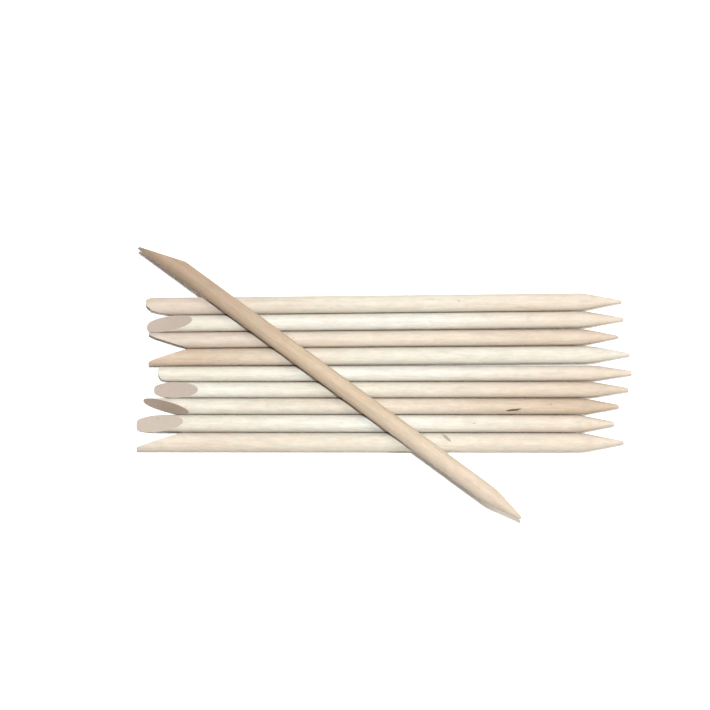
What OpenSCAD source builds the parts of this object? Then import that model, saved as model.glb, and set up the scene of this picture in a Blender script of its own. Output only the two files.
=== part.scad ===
// A set of ten wooden cuticle sticks: nine lie side by side on a table, and one lies across them.
// Each stick is one turned dowel with a slanted flat, the bevel, at one end and a blunt point at the other.
// The origin is on the table, under the middle of the set. +X runs along the row from the bevels to the
// points, and +Z is up.

/* [Sticks] */
// Length of a usual stick, from the bevel's tip to the point
stick_length = 114; // [102:1:127]
// Diameter of a usual stick
stick_dia = 4; // [3.8:0.05:4.6]
// Angle between the bevel and the stick's axis
bevel_angle = 18.5; // [16:0.5:30]
// Thickness of the wood left at a usual bevel's tip
bevel_tip = 0.4; // [0.3:0.1:1]
// Length of the turned point
point_length = 9; // [7:0.5:13]
// Width of the blunt end of the point
point_tip = 0.7; // [0.6:0.1:1.2]
// Radius of the soft shoulder between the shank and the point
shoulder_radius = 14; // [2:1:20]

/* [Row] */
// Gap between neighbours at the end where the row is closed up
side_gap = 0.05; // [0.02:0.01:0.3]
// Distance from the middle of the set to the line at the bevel end where the row is closed up
closed_end = 60; // [60:1:70]
// Distance of the row's middle from the middle of the set
row_offset = 2.6; // [0:0.1:4]

/* [Crossing stick] */
// Its length
crossing_length = 112; // [102:1:127]
// Its diameter
crossing_dia = 4.35; // [3.8:0.05:4.6]
// Thickness of the wood left at its bevel's tip
crossing_tip = 0.6; // [0.3:0.1:1]
// Angle at which it crosses the row
crossing_angle = 36.2; // [30:0.1:42]
// How far its middle lies towards the bevels
crossing_shift = 12.2; // [0:0.1:16]
// How far its middle lies to the side, from the middle of the set
crossing_offset = 1.2; // [0:0.1:4]
// Gap between it and the two sticks that it lies on
rest_gap = 0.05; // [0.02:0.01:0.3]

/* [Hidden] */
// How each stick of the row differs from a usual one, and how it lies:
// [length, diameter, point's length, point's width, bevel tip's thickness, middle's X, angle to +X, roll].
// A roll of 0 faces the bevel up, 90 towards +Y, 180 down and -90 towards -Y.
STICKS = [
    [ 0.2,  0.2,   0.5, -0.1,  0.1,  0.2,   0.62,  210],
    [ 0.6,  0.0,   0.5,  0.0, -0.1,  0.5,   0.58,   27],
    [-1.2, -0.15, -0.5, -0.1,  0.2,  0.15,  0.46,  -93],
    [ 1.6,  0.15,  0.5,  0.0,  0.4,  1.5,   0.36,  100],
    [-0.2, -0.3,   0.0,  0.4,  0.5,  2.9,   0.14,  203],
    [ 0.2, -0.2,   0.0,  0.2, -0.2,  2.0,   0.04,    2],
    [ 0.3, -0.1,  -0.5,  0.2, -0.2, -0.45, -0.02,  -46],
    [ 0.9,  0.2,  -0.5,  0.4,  0.0, -1.85, -0.05,   16],
    [ 3.0,  0.5,   1.0,  0.0,  0.3, -0.6,  -0.08,  100],
];
PALE_BIRCH = "#f0e2cd";
TAN_BIRCH = "#cbb596";

// The crossing stick lies on these two, which stand highest on each side of its middle
UPPER_REST = 1;
LOWER_REST = 9;
crossing_roll = 90;

row_count = len(STICKS);
$fn = 64;

function length_of(n) = stick_length + STICKS[n - 1][0];
function dia_of(n) = stick_dia + STICKS[n - 1][1];
function middle_x(n) = STICKS[n - 1][5];
function yaw_of(n) = STICKS[n - 1][6];

// Spacing of a stick from the one before it, both lying on the table at the closed end
function spacing(n) = sqrt(dia_of(n) * dia_of(n - 1)) + side_gap;
function spacing_to(n) = n < 2 ? 0 : spacing(n) + spacing_to(n - 1);

// Y of a stick's axis at the closed end, and at any X
function closed_y(n) = row_offset + spacing_to(row_count) / 2 - spacing_to(n);
function axis_y(n, x) = closed_y(n) + (x + closed_end) * tan(yaw_of(n));

// How far along the crossing stick, from its middle, it passes over the axis of a stick of the row
function passes_over(n) =
    (crossing_offset - axis_y(n, -crossing_shift))
    / (sin(crossing_angle) + cos(crossing_angle) * tan(yaw_of(n)));

// The crossing stick rises towards its point, because the stick under that side is the thicker one
rest_span = passes_over(LOWER_REST) - passes_over(UPPER_REST);
crossing_slope = (dia_of(LOWER_REST) - dia_of(UPPER_REST)) / rest_span;
crossing_z = dia_of(UPPER_REST) + rest_gap + crossing_dia / 2 - passes_over(UPPER_REST) * crossing_slope;

// Half outline of a stick as [radius, distance from the bevel's tip]: a straight shank, a soft shoulder,
// a straight-sided point and a round end that the point's side runs into without a corner.
function outline(length, radius, point, tip_radius) =
    let (
        tip_centre = length - tip_radius,
        run = point - tip_radius,
        slant = atan2(radius, run) - asin(tip_radius / norm([run, radius])),
        shoulder_start = length - point - shoulder_radius * tan(slant / 2)
    )
    concat(
        [[0, 0], [radius, 0]],
        [for (a = [0:slant / 4:slant + 0.001])
            [radius - shoulder_radius * (1 - cos(a)), shoulder_start + shoulder_radius * sin(a)]],
        [for (k = [0:5]) let (a = slant + (90 - slant) * k / 6)
            [tip_radius * cos(a), tip_centre + tip_radius * sin(a)]],
        [[0, length]]
    );

// The wood that the bevel takes away from a stick along X, with the bevel facing up and the stick's end at
// the origin. At its tip the bevel leaves wood of this thickness.
module bevel_cut(dia, thickness) {
    translate([0, 0, thickness - dia / 2])
        rotate([0, -bevel_angle, 0])
            translate([-dia, -dia, 0])
                cube([dia / sin(bevel_angle) + 2 * dia, 2 * dia, 1.5 * dia]);
}

// One stick along X with its middle at the origin
module stick(length, dia, point, tip, thickness, roll) {
    translate([-length / 2, 0, 0])
        difference() {
            rotate([0, 90, 0])
                rotate_extrude()
                    polygon(outline(length, dia / 2, point, tip / 2));
            rotate([-roll, 0, 0])
                bevel_cut(dia, thickness);
        }
}

// Stick number n of the row, counted from the +Y side
module row_stick(n) {
    point = point_length + STICKS[n - 1][2];
    tip = point_tip + STICKS[n - 1][3];
    thickness = bevel_tip + STICKS[n - 1][4];
    roll = STICKS[n - 1][7];
    color(PALE_BIRCH)
        translate([middle_x(n), axis_y(n, middle_x(n)), dia_of(n) / 2])
            rotate([0, 0, yaw_of(n)])
                stick(length_of(n), dia_of(n), point, tip, thickness, roll);
}

// The stick that lies across the row
module crossing_stick() {
    color(TAN_BIRCH)
        translate([-crossing_shift, crossing_offset, crossing_z])
            rotate([0, -atan(crossing_slope), -crossing_angle])
                stick(crossing_length, crossing_dia, point_length, point_tip, crossing_tip, crossing_roll);
}

for (n = [1:row_count]) {
    row_stick(n);
}
crossing_stick();
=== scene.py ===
"""Ten loose wooden cuticle sticks: nine lie side by side on a pale table, and one lies across them.

Each stick is built as one closed mesh inside the CAD stick that it stands for. Its axis, length, profile
and bevel are read from that CAD node, and its wood is a solid pattern in the stick's own millimetres.
"""
import math

import bpy
import numpy as np
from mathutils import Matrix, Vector


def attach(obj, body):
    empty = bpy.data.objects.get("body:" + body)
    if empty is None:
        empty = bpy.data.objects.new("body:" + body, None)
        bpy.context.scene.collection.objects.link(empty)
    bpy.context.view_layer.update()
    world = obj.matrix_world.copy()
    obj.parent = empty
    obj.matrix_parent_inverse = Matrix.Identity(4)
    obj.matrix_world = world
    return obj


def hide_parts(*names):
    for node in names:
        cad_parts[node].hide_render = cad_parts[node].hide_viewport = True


MM = .001
CROSSING = "crossing_stick"

# Points in each ring of a stick's mesh, and how far inside the CAD stick's surface the mesh stays at least
AROUND = 72
INSET = .012 * MM

# How deep the waves are in a stick's sanded side, and in its ground bevel
SIDE_WAVES = .022 * MM
BEVEL_WAVES = .03 * MM

# The turned end, with its shoulder and point, is within this last length of a stick
TURNED = 30 * MM

# The middle of a quarter round lies this share of its radius in from both sides
ROUND = .29

# Added to a stick's seed, so that its bevel and its specks have random numbers of their own
BEVEL_SEED = 700
SPECK_SEED = 50

# Camera: where it stands over the table, the width that its picture shows there, and its sensor's in mm
CAMERA_AT = (-6.84 * MM, 7.2 * MM, 900 * MM)
SEEN = 170.4 * MM
SENSOR = 36

# Lamps: where they stand in metres, their width, their power in watts and their colour
HIGH_FROM = (-.01, .19, 1.12)
HIGH_SIZE = .08
HIGH_POWER = 16.2
HIGH_COLOUR = (.98, 1, 1.03)
SIDE_FROM = (.775, -.04, .778)
SIDE_SIZE = .4
SIDE_POWER = 7.3
SIDE_COLOUR = (1, .92, .84)

# Light from the room's walls and from the low backdrop. The one fades into the other between these two
# heights, each the sine of an angle above level.
WALLS = (.15, .123, .1, 1)
BACKDROP = (1, 1, 1, 1)
BACKDROP_TOP = (.2, .3)

# Table top: half its width, how far it lies under the sticks, its colour, roughness and gloss
TABLE_HALF = .8
TABLE_GAP = .02 * MM
TABLE_COLOUR = (.93, .93, .93, 1)
TABLE_ROUGHNESS = .7
TABLE_GLOSS = .2

# Bare wood: its roughness, which varies with the fibres, and that of the ground bevel; its gloss, where .5
# is an ordinary plastic's; and the height of its finest relief
ROUGHNESS = (.52, .66)
GROUND_ROUGHNESS = .8
GLOSS = .15
RELIEF = .035 * MM

# What each pattern in the wood makes of its tone, from its darkest to its lightest
PATCH_SHADE = (.94, 1.055)
FIBRE_SHADE = (.925, 1.06)
FINE_SHADE = (.955, 1.045)
STROKE_SHADE = (.95, 1.04)
DASH_SHADE = (.97, 1.03)
# The turned point is made darker than the rest of the stick by this share
TURNED_SHADE = .95

# How much the dark edge of a growth layer, a pore and a speck take away
LAYER_DEPTH = .06
PORE_DEPTH = .16
SPECK_DEPTH = .55

# The two hues between which the wood drifts, and the colours of a speck and of a dark mark
PINKER = (1.015, .97, .945)
GREENER = (.995, 1.012, 1.005)
SPECK = (.16, .10, .06)
DARK_MARK = (.075, .035, .022)

# Tones of bare birch and of the ground bevels, in linear red, green and blue
WHITE = (.555, .55, .50)
CREAM = (.53, .51, .445)
STRAW = (.52, .49, .415)
BLUSH = (.515, .46, .385)
ROSE = (.465, .405, .345)
SAND = (.48, .41, .33)
HONEY = (.44, .355, .27)
CARAMEL = (.415, .335, .245)
UMBER = (.30, .225, .16)
# The ground bevels' tones are darker than the wood's. This is partly for the ground fibres and partly
# painted shade on bevels turned away from the lamps. The brown one, on a bevel that faces away from the high
# lamp, holds the most painted shade.
PALE_BEVEL_WITH_SHADE = (.41, .355, .30)
GREY_BEVEL_WITH_SHADE = (.38, .32, .275)
BROWN_BEVEL_WITH_SHADE = (.335, .27, .215)

# How each stick differs to the eye. tones are the wood's colours at the bevel end, the middle and the point,
# and bevel is the colour of the ground bevel, with painted shade in it where it is darker than the wood.
# nose is how flat the bevel's tip is in plan: the radius of its curve, in half widths of the tip. blunt is
# the width in mm of the cut across the point, and slant is how far that cut leans, in degrees. seed starts
# the random numbers of the stick's own wood.
LOOKS = {
    "row_stick_1": dict(tones=(ROSE, STRAW, BLUSH), bevel=GREY_BEVEL_WITH_SHADE,
                        nose=1.05, blunt=.5, slant=15, seed=11),
    "row_stick_2": dict(tones=(CREAM, WHITE, BLUSH), bevel=GREY_BEVEL_WITH_SHADE,
                        nose=1.5, blunt=.55, slant=-10, seed=23),
    "row_stick_3": dict(tones=(ROSE, BLUSH, SAND), bevel=GREY_BEVEL_WITH_SHADE,
                        nose=1.2, blunt=.5, slant=20, seed=37),
    "row_stick_4": dict(tones=(HONEY, CREAM, CREAM), bevel=GREY_BEVEL_WITH_SHADE,
                        nose=1.25, blunt=.55, slant=5, seed=41),
    "row_stick_5": dict(tones=(CREAM, WHITE, BLUSH), bevel=GREY_BEVEL_WITH_SHADE,
                        nose=1.4, blunt=1.0, slant=-16, seed=59),
    "row_stick_6": dict(tones=(WHITE, STRAW, SAND), bevel=GREY_BEVEL_WITH_SHADE,
                        nose=3.0, blunt=.8, slant=8, seed=61),
    "row_stick_7": dict(tones=(CREAM, BLUSH, HONEY), bevel=BROWN_BEVEL_WITH_SHADE,
                        nose=1.3, blunt=.75, slant=12, seed=73),
    "row_stick_8": dict(tones=(CREAM, WHITE, BLUSH), bevel=PALE_BEVEL_WITH_SHADE,
                        nose=3.0, blunt=1.0, slant=-22, seed=83),
    "row_stick_9": dict(tones=(BLUSH, STRAW, BLUSH), bevel=GREY_BEVEL_WITH_SHADE,
                        nose=1.5, blunt=.65, slant=10, seed=97),
    CROSSING: dict(tones=(UMBER, CARAMEL, SAND), bevel=UMBER,
                   nose=1.3, blunt=.65, slant=14, seed=5),
}

# Marks in the wood: distance from the bevel's tip, distance to +Y of the line that faces up, length and
# width in mm, lean in degrees, and how dark the mark's middle is, from 0 to 1
MARKS = {
    "row_stick_7": (88.6, -.9, 4.2, .5, 7, .93),
    "row_stick_9": (74.2, 1.0, 2.8, .7, -38, .5),
}


class Stick:
    """A stick as its CAD mesh has it: a point on its axis, three directions, and its profile."""

    def __init__(self, name, mesh):
        points = np.array([v.co for v in mesh.vertices], float)
        spread = points - points.mean(0)
        axis = np.linalg.eigh(spread.T @ spread)[1][:, 2]
        axis *= math.copysign(1, axis[0])
        apex = points[np.argmax(points @ axis)]
        behind = (apex - points) @ axis
        ring_points = points[(behind > 1 * MM) & (behind < TURNED)]
        ring_points = np.unique(ring_points.round(7), axis=0)
        self.name = name
        self.axis = unit(apex - ring_points.mean(0))
        along = (points - apex) @ self.axis
        self.length = -along.min()
        self.start = apex - self.length * self.axis
        distance = np.linalg.norm(points - apex - np.outer(along, self.axis), axis=1)
        self.radius = distance.max()
        self.read_profile(self.length + along, distance)
        self.read_bevel(mesh)

    def read_profile(self, x, r):
        """The turned end: each CAD ring's distance from the bevel's tip, and its radius."""
        rings = {}
        for a, b in zip(x, r):
            if a > self.length - TURNED:
                rings[round(a, 6)] = b
        places = sorted(rings)
        self.ring_x = np.array([0] + places)
        self.ring_r = np.array([self.radius] + [rings[a] for a in places])

    def read_bevel(self, mesh):
        """The bevel's angle and the direction that it faces, from the flat faces of the CAD mesh."""
        total = np.zeros(3)
        for p in mesh.polygons:
            n, c = np.array(p.normal), np.array(p.center)
            if -.8 < n @ self.axis < -.15 and (c - self.start) @ self.axis < 25 * MM:
                total += n * p.area
                on_plane = c
        n = unit(total)
        self.angle = math.asin(-(n @ self.axis))
        self.up = unit(n - (n @ self.axis) * self.axis)
        self.side = np.cross(self.up, self.axis)
        rise = (on_plane - self.start) @ self.up
        self.tip_height = rise - (on_plane - self.start) @ self.axis * math.tan(self.angle)

    def profile(self, x):
        """Radius at distances x, with the corners between the CAD rings eased."""
        near = np.linspace(-.4 * MM, .4 * MM, 7)
        return np.mean([np.interp(x + d, self.ring_x, self.ring_r) for d in near], axis=0)

    def place(self, local):
        """Points in the row's frame, given as (along, side, up) in the stick's own."""
        return self.start + local @ np.array([self.axis, self.side, self.up])

    def upward(self):
        """The directions across the stick that face up and to +Y as it lies, in the stick's own frame."""
        up = unit(np.array([0, self.side[2], self.up[2]]))
        left = np.cross(up, [1, 0, 0])
        left *= math.copysign(1, left[1] * self.side[1] + left[2] * self.up[1])
        return up, left


def unit(v):
    return v / np.linalg.norm(v)


def rows_unit(rows):
    return rows / np.linalg.norm(rows, axis=1)[:, None]


def smooth_step(a, b, x):
    t = np.clip((x - a) / (b - a), 0, 1)
    return t * t * (3 - 2 * t)


def waves(seed, x, theta):
    """Slow unevenness of a sanded dowel along its length and round it, from 0 to 1."""
    rng = np.random.default_rng(seed)
    total = np.zeros(np.broadcast(x, theta).shape)
    weight = 0
    for _ in range(9):
        per_metre = rng.uniform(15, 160)
        turns = rng.integers(0, 4)
        size = rng.uniform(.4, 1)
        total = total + size * np.sin(2 * math.pi * per_metre * x + turns * theta + rng.uniform(0, 6.3))
        weight += size
    return .5 + .5 * total / weight


def bezier(a, b, c, d, t):
    return (1 - t) ** 3 * a + 3 * t * (1 - t) ** 2 * b + 3 * t * t * (1 - t) * c + t ** 3 * d


def soft_max(a, b, width):
    """The larger of a and b, eased over this width where they meet."""
    return .5 * (a + b + np.sqrt((a - b) ** 2 + width ** 2))


def bevel_edge(stick, theta, nose):
    """The bevel's rim as two loops: where the stick's side begins and where the flat ends. They part only
    at the tip, where a little thickness of wood is left. The tip is rounded in plan."""
    r = stick.radius - INSET
    slope = math.tan(stick.angle)
    y, z = r * np.sin(theta), r * np.cos(theta)
    curve = nose * math.sqrt(stick.radius ** 2 - stick.tip_height ** 2)
    inside = np.minimum(np.abs(y), .97 * curve)
    x_nose = curve - np.sqrt(curve ** 2 - inside ** 2)
    x_edge = soft_max((z - stick.tip_height) / slope, x_nose, .12 * MM)
    z_flat = stick.tip_height + x_edge * slope
    return np.stack([x_edge, y, z], 1), np.stack([x_edge, y, z_flat], 1)


def rim_rings(inner, flat_edge, side_edge, first, rim):
    """Rings that round the bevel's rim off: over one corner where the flat meets the side, and over two
    corners where the wood left at the tip stands between them."""
    wall = (flat_edge - side_edge)[:, 2]
    size = np.minimum(.6 * rim, .3 * wall)[:, None]
    flat_way, side_way = rows_unit(inner - flat_edge), rows_unit(first - side_edge)
    up = np.array([0, 0, 1.0])
    over_two = [inner,
                flat_edge + size * flat_way,
                flat_edge + ROUND * size * (flat_way - up),
                flat_edge - size * up,
                side_edge + size * up,
                side_edge + ROUND * size * (side_way + up),
                side_edge + size * side_way]
    share = smooth_step(0, .3 * MM, wall)[:, None]
    for i, two in enumerate(over_two):
        done = i / len(over_two)
        one = bezier(inner, flat_edge, side_edge, first, done)
        yield one + (two - one) * share, 1 - done, 0


def bevel_relief(seed, ring):
    """Low waves in the ground bevel, which isn't quite flat, from 0 to 1."""
    rng = np.random.default_rng(seed + BEVEL_SEED)
    x, y = ring[:, 0] / MM, ring[:, 1] / MM
    total = .5 * np.sin(x * rng.uniform(.9, 1.4) + rng.uniform(0, 6))
    total += .3 * np.sin(x * rng.uniform(2.2, 3.4) + y * .5 + rng.uniform(0, 6))
    total += .2 * np.sin(y * rng.uniform(1.4, 2.2) + rng.uniform(0, 6))
    return .5 + .5 * total


def bevel_rings(stick, seed, centre, inner):
    """The ground bevel from its middle out towards its rim."""
    down = np.array([math.sin(stick.angle), 0, -math.cos(stick.angle)])
    for s in (.08, .2, .32, .44, .56, .67, .77, .86, .93, .975):
        ring = centre + (inner - centre) * s
        depth = bevel_relief(seed, ring) * BEVEL_WAVES * smooth_step(1, .75, s)
        yield ring + down * depth[:, None], 1, 0


def shank_rings(side_ring, start, heel, shoulder):
    """The side from the bevel's rim to its heel, and on along the round shank to the point's shoulder."""
    for s in np.linspace(0, 1, 25)[:-1] ** 1.15:
        yield side_ring(start * (1 - s) + heel * s), 0, 0
    for x in np.linspace(heel, shoulder, 92)[:-1]:
        yield side_ring(np.full(AROUND, x)), 0, 0


def point_rings(side_ring, shoulder, edge, middle):
    """The turned point from its shoulder to its end, and the cut across that end."""
    for s in np.linspace(0, 1, 37):
        x = shoulder * (1 - s) + (edge[:, 0] - .1 * MM) * s
        side = side_ring(x)
        yield side, 0, smooth_step(shoulder, shoulder + 2.4 * MM, x)
    inner = middle + (edge - middle) * .72
    for t in (.25, .5, .75, 1):
        yield bezier(side, edge, edge, inner, t), t, 1
    for s in (.6, .3):
        yield middle + (inner - middle) * s, 1, 1


def stick_rings(stick, look):
    """The mesh's rings from the bevel to the point, each with how much of it is a ground face and how much
    is turned, between the middle of the bevel and the middle of the cut across the point."""
    theta = np.linspace(0, 2 * math.pi, AROUND, endpoint=False)
    side_edge, flat_edge = bevel_edge(stick, theta, look["nose"])
    centre = flat_edge.mean(0)
    centre[1] = 0
    reach = np.linalg.norm(flat_edge - centre, axis=1)
    rim = np.minimum(.10 * MM, reach * .2)
    inner = centre + (flat_edge - centre) * (1 - rim / reach)[:, None]

    def side_ring(x):
        r = stick.profile(x) - INSET - SIDE_WAVES * waves(look["seed"], x, theta)
        return np.stack([x, r * np.sin(theta), r * np.cos(theta)], 1)

    first = side_ring(side_edge[:, 0] + rim * 1.6)
    heel = side_edge[:, 0].max() + 3 * MM
    shoulder = stick.ring_x[1] - .8 * MM
    end_edge = point_edge(stick, theta, look)
    middle = end_edge.mean(0)
    rings = [*bevel_rings(stick, look["seed"], centre, inner),
             *rim_rings(inner, flat_edge, side_edge, first, rim),
             *shank_rings(side_ring, first[:, 0], heel, shoulder),
             *point_rings(side_ring, shoulder, end_edge, middle)]
    return centre, rings, middle


def point_edge(stick, theta, look):
    """Where the turned end's side meets the cut across it, which is nearly flat and leans a little."""
    want = look["blunt"] / 2 * MM
    xs = np.linspace(stick.length - 4 * MM, stick.length, 800)
    rs = stick.profile(xs)
    cut = xs[np.argmin(np.abs(rs - want))]
    lean = math.tan(math.radians(look["slant"]))
    turn = look["seed"] * 1.7
    x = cut + want * np.cos(theta - turn) * lean
    r = np.interp(x, xs, rs) - INSET
    return np.stack([x, r * np.sin(theta), r * np.cos(theta)], 1)


def ring_faces(count):
    """Faces that join the rings to each other, and the first and last ring to a point at their middle."""
    for j in range(AROUND):
        k = (j + 1) % AROUND
        yield 0, 1 + k, 1 + j
        for i in range(count - 1):
            a, b = 1 + i * AROUND, 1 + (i + 1) * AROUND
            yield a + j, a + k, b + k, b + j
        a = 1 + (count - 1) * AROUND
        yield a + j, a + k, a + AROUND


def stick_mesh(stick, look):
    """The closed mesh of one stick, in the row frame, with its own millimetres kept as attributes."""
    centre, rings, middle = stick_rings(stick, look)
    local = np.concatenate([[centre], *(points for points, _, _ in rings), [middle]])
    ground = [np.broadcast_to(share, AROUND) for _, share, _ in rings]
    turned = [np.broadcast_to(share, AROUND) for _, _, share in rings]
    mesh = bpy.data.meshes.new(stick.name + "_wood")
    mesh.from_pydata(stick.place(local).tolist(), [], list(ring_faces(len(rings))))
    mesh.polygons.foreach_set("use_smooth", [True] * len(mesh.polygons))
    keep_vectors(mesh, "stick_mm", local / MM)
    keep_numbers(mesh, "ground_face", np.concatenate([[1], *ground, [1]]))
    keep_numbers(mesh, "turned_end", np.concatenate([[0], *turned, [1]]))
    mesh.update()
    return mesh


def keep_vectors(mesh, name, values):
    made = mesh.attributes.new(name, "FLOAT_VECTOR", "POINT")
    made.data.foreach_set("vector", np.asarray(values, np.float32).ravel())


def keep_numbers(mesh, name, values):
    made = mesh.attributes.new(name, "FLOAT", "POINT")
    made.data.foreach_set("value", np.asarray(values, np.float32).ravel())


class Nodes:
    """Short ways to add shader nodes and link them."""

    def __init__(self, name):
        self.material = bpy.data.materials.new(name)
        self.material.use_nodes = True
        self.tree = self.material.node_tree
        self.shader = self.tree.nodes["Principled BSDF"]

    def put(self, socket, value):
        if isinstance(value, bpy.types.NodeSocket):
            self.tree.links.new(value, socket)
        elif value is not None:
            socket.default_value = value

    def attribute(self, name, output):
        n = self.tree.nodes.new("ShaderNodeAttribute")
        n.attribute_name = name
        return n.outputs[output]

    def math(self, operation, a, b=None):
        n = self.tree.nodes.new("ShaderNodeMath")
        n.operation = operation
        for socket, value in zip(n.inputs, (a, b)):
            self.put(socket, value)
        return n.outputs[0]

    def add(self, a, b):
        return self.math("ADD", a, b)

    def subtract(self, a, b):
        return self.math("SUBTRACT", a, b)

    def multiply(self, a, b):
        return self.math("MULTIPLY", a, b)

    def dimmed(self, share, depth):
        """1 where share is 0, and less by this depth where share is 1."""
        return self.subtract(1.0, self.multiply(share, depth))

    def vector(self, operation, a, b):
        n = self.tree.nodes.new("ShaderNodeVectorMath")
        n.operation = operation
        self.put(n.inputs[0], a)
        self.put(n.inputs[1], b)
        return n.outputs["Value" if operation == "DOT_PRODUCT" else "Vector"]

    def stretched(self, where, scale, shift):
        """where, scaled and shifted, for patterns that are longer than they are wide."""
        return self.vector("ADD", self.vector("MULTIPLY", where, scale), shift)

    def noise(self, where, scale, shift, detail, rough=.5, distortion=0.0):
        n = self.tree.nodes.new("ShaderNodeTexNoise")
        self.put(n.inputs["Vector"], self.stretched(where, scale, shift))
        n.inputs["Scale"].default_value = 1
        n.inputs["Detail"].default_value = detail
        n.inputs["Roughness"].default_value = rough
        n.inputs["Distortion"].default_value = distortion
        return n.outputs[0]

    def wander(self, where, scale, shift, detail, size):
        """A noise that goes this size from lowest to highest, about 0."""
        return self.multiply(self.subtract(self.noise(where, scale, shift, detail), .5), size)

    def cells(self, where, scale, shift):
        n = self.tree.nodes.new("ShaderNodeTexVoronoi")
        self.put(n.inputs["Vector"], self.stretched(where, scale, shift))
        n.inputs["Scale"].default_value = 1
        return n.outputs["Distance"], n.outputs["Color"]

    def between(self, value, low, high, to_low=0.0, to_high=1.0):
        """value mapped smoothly from low..high to to_low..to_high."""
        n = self.tree.nodes.new("ShaderNodeMapRange")
        n.interpolation_type = "SMOOTHSTEP"
        for socket, v in zip(n.inputs, (value, low, high, to_low, to_high)):
            self.put(socket, v)
        return n.outputs[0]

    def mix(self, share, a, b, blend="MIX"):
        """Colour a where share is 0 and b where it is 1, or a times b there with blend="MULTIPLY"."""
        n = self.tree.nodes.new("ShaderNodeMix")
        n.data_type = "RGBA"
        n.blend_type = blend
        self.put(n.inputs[0], share)
        for socket, value in ((n.inputs[6], a), (n.inputs[7], b)):
            self.put(socket, (*value, 1) if isinstance(value, tuple) and len(value) == 3 else value)
        return n.outputs[2]

    def scale(self, colour, share):
        """A colour times a number."""
        n = self.tree.nodes.new("ShaderNodeVectorMath")
        n.operation = "SCALE"
        self.put(n.inputs[0], colour)
        self.put(n.inputs["Scale"], share)
        return n.outputs[0]

    def mix_number(self, share, a, b):
        """Number a where share is 0 and b where it is 1."""
        n = self.tree.nodes.new("ShaderNodeMix")
        for socket, value in ((n.inputs[0], share), (n.inputs[2], a), (n.inputs[3], b)):
            self.put(socket, value)
        return n.outputs[0]

    def split(self, where):
        n = self.tree.nodes.new("ShaderNodeSeparateXYZ")
        self.put(n.inputs[0], where)
        return n.outputs

    def bump(self, height, depth):
        n = self.tree.nodes.new("ShaderNodeBump")
        n.inputs["Strength"].default_value = 1
        n.inputs["Distance"].default_value = depth
        self.put(n.inputs["Height"], height)
        return n.outputs[0]


def wood_tone(m, where, look, length):
    """The wood's slow change of colour from the bevel end to the point."""
    at_bevel, at_middle, at_point = look["tones"]
    x = m.split(where)[0]
    first = m.mix(m.between(x, length * .08, length * .5), at_bevel, at_middle)
    return m.mix(m.between(x, length * .5, length * .92), first, at_point)


def somewhere(rng):
    """A random place in a pattern, to start it from."""
    return tuple(rng.uniform(-80, 80, 3))


def grain(m, where, seed):
    """Growth layers, fibres, fine fibres, patches, drift of hue and pores of pale birch, from 0 to 1."""
    rng = np.random.default_rng(seed)
    shift = somewhere(rng)
    turn = rng.uniform(0, math.pi)
    across = m.vector("DOT_PRODUCT", where, (rng.uniform(-.012, .012), math.cos(turn), math.sin(turn)))
    sway = m.noise(where, (.035, .35, .35), shift, 2)
    layer = m.math("FRACT", m.add(m.multiply(across, rng.uniform(.5, .8)), m.multiply(sway, 2.4)))
    layers = m.multiply(m.between(layer, .55, .97), m.between(layer, 1, .97))
    fibres = m.noise(where, (.2, 3.2, 3.2), shift, 5, .62)
    fine = m.noise(where, (.4, 13, 13), shift, 3, .6)
    patches = m.noise(where, (.3, .6, .6), shift, 5, .75, .4)
    hue = m.noise(where, (.3, .9, .9), somewhere(rng), 4, .65)
    pores = m.between(m.noise(where, (.9, 17, 17), somewhere(rng), 1, .4), .66, .76)
    return layers, fibres, fine, patches, hue, pores


def specks(m, where, seed):
    """A few small dark specks, one in some tens of square millimetres."""
    rng = np.random.default_rng(seed + SPECK_SEED)
    distance, colour = m.cells(where, (.16, .42, .42), somewhere(rng))
    chosen = m.between(m.split(colour)[0], .74, .78)
    return m.multiply(m.between(distance, .075, .03), chosen)


def dark_mark(m, where, stick):
    """A dark sliver or knot: an elongated spot with a ragged edge that leans across the grain."""
    x, y, length, width, lean, dark = MARKS[stick.name]
    up, left = stick.upward()
    c, s = math.cos(math.radians(lean)), math.sin(math.radians(lean))
    from_middle = m.vector("SUBTRACT", where, (x, 0, 0))
    on = m.split(from_middle)[0]
    off = m.subtract(m.vector("DOT_PRODUCT", from_middle, tuple(left)), y)
    off = m.add(off, m.wander(where, (.5, .5, .5), (3, 1, 7), 2, .5))
    along = m.math("DIVIDE", m.add(m.multiply(on, c), m.multiply(off, s)), length / 2)
    across = m.math("DIVIDE", m.subtract(m.multiply(off, c), m.multiply(on, s)), width / 2)
    out = m.add(m.multiply(along, along), m.multiply(across, across))
    ragged = m.add(out, m.wander(where, (1.6, 4, 4), (0, 5, 2), 3, 1.6))
    upper_side = m.math("GREATER_THAN", m.vector("DOT_PRODUCT", where, tuple(up)), 0.0)
    return m.multiply(m.between(ragged, 1.25, .35, 0.0, dark), upper_side)


def ground_pattern(m, where, seed):
    """The bevel's finish: strokes of the grinding belt across it, and short dark dashes of cut fibres."""
    strokes = m.noise(where, (7, .8, .8), (1.0, float(seed), 2.0), 4, .65)
    dashes = m.noise(where, (1.1, 7, 1.0), (4.0, 1.0, float(seed)), 3, .6)
    return strokes, dashes


def wood_shade(m, turned, layers, fibres, fine, patches, pores):
    """How much darker or lighter than its tone the wood is, from all its patterns, and darker over the
    turned point.
    """
    shade = m.between(patches, .3, .7, *PATCH_SHADE)
    shade = m.multiply(shade, m.between(fibres, .25, .75, *FIBRE_SHADE))
    shade = m.multiply(shade, m.between(fine, .2, .8, *FINE_SHADE))
    shade = m.multiply(shade, m.dimmed(layers, LAYER_DEPTH))
    shade = m.multiply(shade, m.dimmed(pores, PORE_DEPTH))
    return m.multiply(shade, m.between(turned, 0, 1, 1, TURNED_SHADE))


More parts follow.
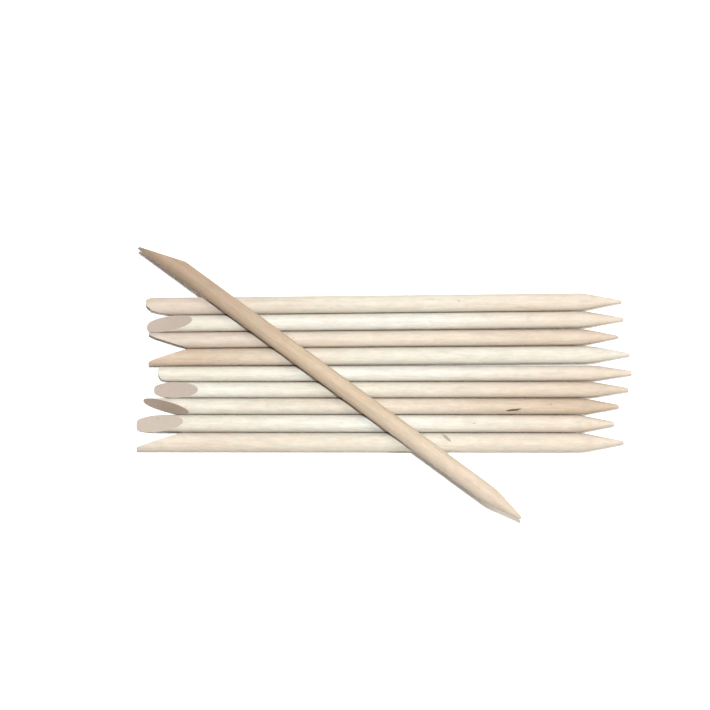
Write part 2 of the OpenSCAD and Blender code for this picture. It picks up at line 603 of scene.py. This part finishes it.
def wood_material(stick, look):
    """Sanded birch with no finish. The bevel is ground across the fibres, so it is duller and rougher. Its
    colour is greyer and darker than the wood's, partly for the ground fibres and partly as painted shade on
    a face turned away from the lamps.
    """
    m = Nodes(stick.name + "_birch")
    where = m.attribute("stick_mm", "Vector")
    ground = m.attribute("ground_face", "Fac")
    turned = m.attribute("turned_end", "Fac")
    layers, fibres, fine, patches, hue, pores = grain(m, where, look["seed"])
    strokes, dashes = ground_pattern(m, where, look["seed"])

    tone = wood_tone(m, where, look, stick.length / MM)
    tone = m.mix(m.between(hue, .32, .68),
                 m.mix(1.0, tone, PINKER, "MULTIPLY"),
                 m.mix(1.0, tone, GREENER, "MULTIPLY"))
    shade = wood_shade(m, turned, layers, fibres, fine, patches, pores)
    ground_shade = m.multiply(m.between(strokes, .25, .75, *STROKE_SHADE),
                              m.between(dashes, .3, .7, *DASH_SHADE))
    # The bevel takes its own tone, which holds painted shade where it is darker than the wood
    colour = m.mix(ground, m.scale(tone, shade), m.scale(look["bevel"], ground_shade))
    colour = m.mix(m.multiply(specks(m, where, look["seed"]), SPECK_DEPTH), colour, SPECK)
    if stick.name in MARKS:
        colour = m.mix(dark_mark(m, where, stick), colour, DARK_MARK)
    m.put(m.shader.inputs["Base Color"], colour)

    roughness = m.between(fibres, .25, .75, *ROUGHNESS)
    m.put(m.shader.inputs["Roughness"], m.mix_number(ground, roughness, GROUND_ROUGHNESS))
    m.shader.inputs["Specular IOR Level"].default_value = GLOSS

    # Raised fibres, sunken pores and the lathe's rings round the point, or the ground bevel's own relief
    lathe = m.noise(where, (4.5, .15, .15), (9.0, 2.0, 5.0), 3, .6)
    relief = m.add(m.multiply(fibres, .55), m.multiply(fine, .3))
    relief = m.subtract(relief, m.multiply(pores, .35))
    relief = m.add(relief, m.multiply(m.multiply(lathe, turned), .5))
    ground_relief = m.add(m.multiply(strokes, .8), m.multiply(dashes, .4))
    m.put(m.shader.inputs["Normal"], m.bump(m.mix_number(ground, relief, ground_relief), RELIEF))
    return m.material


def build_stick(name, node):
    """One stick that stands for its CAD node and rides on that node's body."""
    stick = Stick(name, node.data)
    look = LOOKS[name]
    piece = bpy.data.objects.new(name + "_wood", stick_mesh(stick, look))
    bpy.context.scene.collection.objects.link(piece)
    piece.data.materials.append(wood_material(stick, look))
    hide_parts(name)
    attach(piece, name)


def make_table():
    """A plain, nearly white table top."""
    h = TABLE_HALF
    mesh = bpy.data.meshes.new("floor")
    mesh.from_pydata([(-h, -h, 0), (h, -h, 0), (h, h, 0), (-h, h, 0)], [], [(0, 1, 2, 3)])
    floor = bpy.data.objects.new("floor", mesh)
    floor.location.z = -TABLE_GAP
    bpy.context.scene.collection.objects.link(floor)
    m = Nodes("white_table")
    m.shader.inputs["Base Color"].default_value = TABLE_COLOUR
    m.shader.inputs["Roughness"].default_value = TABLE_ROUGHNESS
    m.shader.inputs["Specular IOR Level"].default_value = TABLE_GLOSS
    mesh.materials.append(m.material)


def area_light(name, place, size, power, colour):
    """A square lamp that shines on the middle of the set."""
    data = bpy.data.lights.new(name, "AREA")
    data.shape = "SQUARE"
    data.size = size
    data.energy = power
    data.color = colour
    lamp = bpy.data.objects.new(name, data)
    lamp.location = place
    lamp.rotation_mode = "QUATERNION"
    lamp.rotation_quaternion = (-Vector(place)).to_track_quat("-Z", "Y")
    bpy.context.scene.collection.objects.link(lamp)


def make_room():
    """Light from the room round the table: dim, warm walls, and a white backdrop low down."""
    world = bpy.data.worlds.new("studio")
    world.use_nodes = True
    add = world.node_tree.nodes.new
    link = world.node_tree.links.new
    split = add("ShaderNodeSeparateXYZ")
    link(add("ShaderNodeTexCoord").outputs["Generated"], split.inputs[0])
    height = add("ShaderNodeMapRange")
    height.interpolation_type = "SMOOTHSTEP"
    height.inputs["From Min"].default_value = BACKDROP_TOP[0]
    height.inputs["From Max"].default_value = BACKDROP_TOP[1]
    link(split.outputs["Z"], height.inputs["Value"])
    mix = add("ShaderNodeMix")
    mix.data_type = "RGBA"
    link(height.outputs[0], mix.inputs[0])
    mix.inputs[6].default_value = BACKDROP
    mix.inputs[7].default_value = WALLS
    link(mix.outputs[2], world.node_tree.nodes["Background"].inputs["Color"])
    bpy.context.scene.world = world


def make_lamps():
    """A small bright lamp high above the set, and a softer, warmer panel on the side of the points."""
    area_light("high_lamp", HIGH_FROM, HIGH_SIZE, HIGH_POWER, HIGH_COLOUR)
    area_light("side_panel", SIDE_FROM, SIDE_SIZE, SIDE_POWER, SIDE_COLOUR)


def make_camera():
    """A long lens that looks straight down on the set."""
    data = bpy.data.cameras.new("camera")
    data.sensor_width = SENSOR
    data.lens = SENSOR * CAMERA_AT[2] / SEEN
    data.clip_start, data.clip_end = .05, 10
    camera = bpy.data.objects.new("camera", data)
    camera.location = CAMERA_AT
    bpy.context.scene.collection.objects.link(camera)
    bpy.context.scene.camera = camera
    bpy.context.scene.view_settings.view_transform = "Standard"


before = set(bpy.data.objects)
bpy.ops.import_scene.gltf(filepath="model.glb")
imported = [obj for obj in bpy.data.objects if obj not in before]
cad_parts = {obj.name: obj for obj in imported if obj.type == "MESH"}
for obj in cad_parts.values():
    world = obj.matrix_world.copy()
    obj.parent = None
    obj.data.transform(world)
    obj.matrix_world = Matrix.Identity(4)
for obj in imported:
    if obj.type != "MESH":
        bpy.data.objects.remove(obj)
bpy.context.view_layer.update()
for node_name, cad_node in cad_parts.items():
    build_stick(node_name, cad_node)
make_table()
make_lamps()
make_room()
make_camera()
